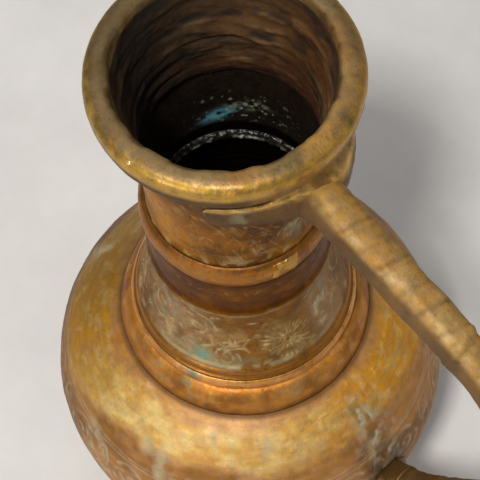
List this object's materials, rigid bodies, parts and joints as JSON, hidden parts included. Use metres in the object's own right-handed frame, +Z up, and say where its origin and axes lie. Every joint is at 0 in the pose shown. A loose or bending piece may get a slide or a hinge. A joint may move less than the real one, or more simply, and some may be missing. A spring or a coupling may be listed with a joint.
{
  "type": "brass and copper water jug",
  "caption": "Bellied metal water jug with a banded flaring neck, a heavy round mouth ring and a cast loop handle, on a low foot ring.",
  "frame": {"origin": "centre of the foot ring on the surface the jug stands on", "axes": "+Z up along the vessel's axis, +X towards the handle, +Y to the handle's left as seen from behind the jug"},
  "size_m": [0.2523, 0.187, 0.3189],
  "materials": {
    "rim_brass": "worn cast brass with a brown-olive patina",
    "pin_brass": "bright worn rivet head",
    "liner_copper": "dark oxidised copper, rough",
    "neck_copper": "engraved copper-brown patina with pale deposits",
    "bead_copper": "rubbed orange copper",
    "patch_brass": "yellow brass repair plate",
    "solder": "lumpy grey-green solder",
    "band_copper": "dark red-brown copper",
    "flare_brass": "engraved olive-brown patina with verdigris",
    "collar_copper": "rubbed pinkish copper",
    "shoulder_brass": "golden brass with copper-brown patina and engraved scrolls",
    "bowl_copper": "dark copper-brown patina with pale deposits",
    "foot_brass": "worn brass, dull",
    "handle_brass": "cast khaki brass, hand-filed and rubbed",
    "rivet_brass": "peened brass"
  },
  "bodies": {
    "root": {"rim_ring": "rim_brass", "rim_pin": "pin_brass", "neck_liner": "liner_copper", "neck_upper": "neck_copper", "neck_bead_ring": "bead_copper", "bead_patch": "patch_brass", "neck_seam_ring": "solder", "neck_lower": "band_copper", "neck_flare": "flare_brass", "collar_bead": "collar_copper", "collar_ring": "collar_copper", "body_shoulder": "shoulder_brass", "body_bowl": "bowl_copper", "base_disc": "bowl_copper", "foot_ring": "foot_brass", "handle_saddle": "handle_brass", "handle_grip": "handle_brass", "handle_foot": "handle_brass", "handle_rivets": "rivet_brass"}
  },
  "joints": []
}
